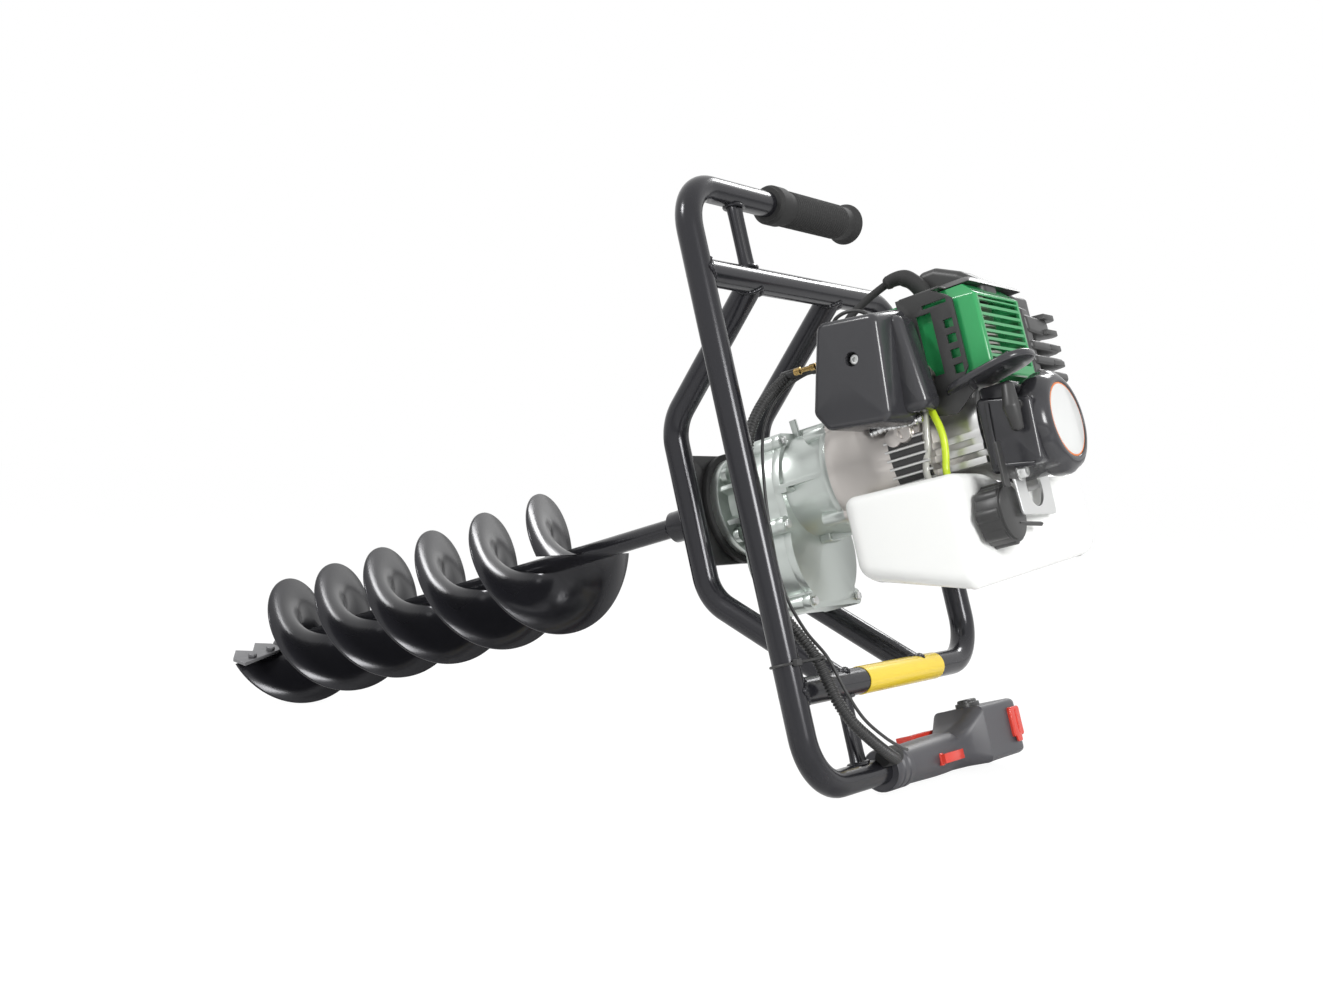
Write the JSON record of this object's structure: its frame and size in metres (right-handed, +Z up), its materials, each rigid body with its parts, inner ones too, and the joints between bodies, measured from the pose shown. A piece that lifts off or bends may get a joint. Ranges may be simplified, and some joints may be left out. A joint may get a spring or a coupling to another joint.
{
  "type": "petrol earth auger",
  "caption": "One-operator earth auger with a small petrol engine, a reduction gearbox, a double-start auger and a wide two-handled tube frame.",
  "frame": {"origin": "middle of the machine's bounding box, on the floor it lies on", "axes": "+X along the machine from the auger's tip to the engine, +Y from the main bar towards the free ends of the handles, +Z up"},
  "size_m": [1.0473, 0.38, 0.5768],
  "materials": {
    "gloss_black": "gloss",
    "black_steel": "satin",
    "rubber": "matte",
    "black_plastic": "satin",
    "cover_black": "gloss",
    "yellow_film": "gloss",
    "case_aluminium": "cast satin",
    "raw_aluminium": "cast satin",
    "silver_aluminium": "cast satin",
    "steel": "satin",
    "zinc": "zinc",
    "dark_steel": "dark",
    "muffler_steel": "heat dulled",
    "green_plastic": "gloss",
    "tank_white": "translucent white",
    "fuel_line_yellow": "clear tube",
    "red_plastic": "gloss",
    "grey_plastic": "satin",
    "bulb": "soft translucent",
    "white_plastic": "matte"
  },
  "bodies": {
    "machine": {"main_bar": "gloss_black", "guard_bar": "gloss_black", "carriers": "gloss_black", "frame_gussets": "gloss_black", "mount_plate": "black_steel", "vibration_ring": "rubber", "hand_grip": "rubber", "marker_sleeve": "yellow_film", "gear_case": "case_aluminium", "gear_cover": "case_aluminium", "gear_cover_bolts": "zinc", "flange_bolts": "zinc", "output_seal": "rubber", "gearbox_bearings": "steel", "countershaft": "steel", "fan_case": "raw_aluminium", "crankcase": "silver_aluminium", "engine_cylinder": "raw_aluminium", "piston": "silver_aluminium", "connecting_rod": "steel", "spark_plug": "steel", "plug_boot_lead": "rubber", "ignition_coil": "black_plastic", "muffler": "muffler_steel", "muffler_cover": "cover_black", "muffler_screws": "zinc", "cylinder_cover": "green_plastic", "top_shroud": "black_plastic", "baffle_plate": "black_plastic", "carburettor": "silver_aluminium", "air_cleaner": "black_plastic", "fuel_tank": "tank_white", "fuel_lines": "fuel_line_yellow", "tank_bracket": "zinc", "starter_case": "black_plastic", "throttle_housing": "grey_plastic", "throttle_conduit": "black_plastic"},
    "auger": {"auger_shaft": "gloss_black", "auger_flights": "gloss_black", "cutter_blades": "dark_steel", "cutter_bolts": "dark_steel", "drive_pin": "zinc", "output_shaft": "steel"},
    "low_stage": {"low_gear": "steel"},
    "idler_stage": {"idler_gear": "steel"},
    "high_stage": {"high_gear": "steel"},
    "drum": {"clutch_drum": "steel"},
    "crank": {"crankshaft": "steel", "flywheel": "silver_aluminium", "clutch_shoes": "dark_steel", "starter_pulley": "white_plastic"},
    "throttle_plate": {"throttle_lever": "zinc"},
    "primer": {"primer_bulb": "bulb"},
    "choke": {"choke_lever": "red_plastic"},
    "tank_cap": {"fuel_cap": "black_plastic"},
    "pull": {"starter_grip": "black_plastic"},
    "throttle_trigger": {"trigger": "red_plastic"},
    "safety": {"safety_lever": "red_plastic"},
    "lock": {"lock_button": "black_plastic"},
    "switch": {"stop_switch": "red_plastic"}
  },
  "joints": [
    {"name": "auger_spin", "type": "hinge", "parent": "machine", "child": "auger", "pos_m": [0.1635, -0.0155, 0.25573], "axis": [0.9622, 0, 0.2724], "continuous": true},
    {"name": "low_gear_spin", "type": "hinge", "parent": "machine", "child": "low_stage", "pos_m": [0.23758, -0.0155, 0.21434], "axis": [0.9622, 0, 0.2724], "continuous": true},
    {"name": "idler_gear_spin", "type": "hinge", "parent": "machine", "child": "idler_stage", "pos_m": [0.1635, -0.0155, 0.25573], "axis": [0.9622, 0, 0.2724], "continuous": true},
    {"name": "high_gear_spin", "type": "hinge", "parent": "machine", "child": "high_stage", "pos_m": [0.25201, -0.0155, 0.21843], "axis": [0.9622, 0, 0.2724], "continuous": true},
    {"name": "clutch_drum_spin", "type": "hinge", "parent": "machine", "child": "drum", "pos_m": [0.26934, -0.0155, 0.28569], "axis": [0.9622, 0, 0.2724], "continuous": true},
    {"name": "crank_spin", "type": "hinge", "parent": "machine", "child": "crank", "pos_m": [0.37518, -0.0155, 0.31566], "axis": [0.9622, 0, 0.2724], "continuous": true},
    {"name": "starter_pull", "type": "slide", "parent": "machine", "child": "pull", "axis": [0, -1, 0], "range_m": [0, 0.012]},
    {"name": "fuel_cap_turn", "type": "hinge", "parent": "machine", "child": "tank_cap", "pos_m": [0.46721, -0.0735, 0.25857], "axis": [0.9622, 0, 0.2724], "range_deg": [0, 90]},
    {"name": "trigger_press", "type": "hinge", "parent": "machine", "child": "throttle_trigger", "pos_m": [0.33894, 0.1005, 0.03622], "axis": [0.2724, 0, -0.9622], "range_deg": [0, 14], "stiffness_Nm_per_rad": 0.6, "springref_deg": -2.86},
    {"name": "throttle_lever_turn", "type": "hinge", "parent": "machine", "child": "throttle_plate", "pos_m": [0.3885, 0.0535, 0.40809], "axis": [0.2724, 0, -0.9622], "range_deg": [-70, 0]},
    {"name": "safety_lever_press", "type": "slide", "parent": "machine", "child": "safety", "axis": [-0.9622, 0, -0.2724], "range_m": [0, 0.0027], "stiffness_N_per_m": 300, "springref_m": -0.001},
    {"name": "lock_button_press", "type": "slide", "parent": "machine", "child": "lock", "axis": [0.2724, 0, -0.9622], "range_m": [0, 0.0035], "stiffness_N_per_m": 300, "springref_m": -0.001},
    {"name": "stop_switch_rock", "type": "hinge", "parent": "machine", "child": "switch", "pos_m": [0.38552, 0.1675, 0.04421], "axis": [0.2724, 0, -0.9622], "range_deg": [-6, 6]},
    {"name": "choke_turn", "type": "hinge", "parent": "machine", "child": "choke", "pos_m": [0.36561, 0.0785, 0.45222], "axis": [0.2724, 0, -0.9622], "range_deg": [0, 60]},
    {"name": "primer_press", "type": "slide", "parent": "machine", "child": "primer", "axis": [-0.9622, 0, -0.2724], "range_m": [0, 0.00025], "stiffness_N_per_m": 400, "springref_m": -0.001}
  ],
  "couplings": [
    {"joint": "low_gear_spin", "follows": "auger_spin", "ratio": -2.3571},
    {"joint": "idler_gear_spin", "follows": "auger_spin", "ratio": 5.5561},
    {"joint": "high_gear_spin", "follows": "auger_spin", "ratio": -13.097},
    {"joint": "clutch_drum_spin", "follows": "auger_spin", "ratio": 30.87},
    {"joint": "throttle_lever_turn", "follows": "trigger_press", "ratio": -5}
  ]
}
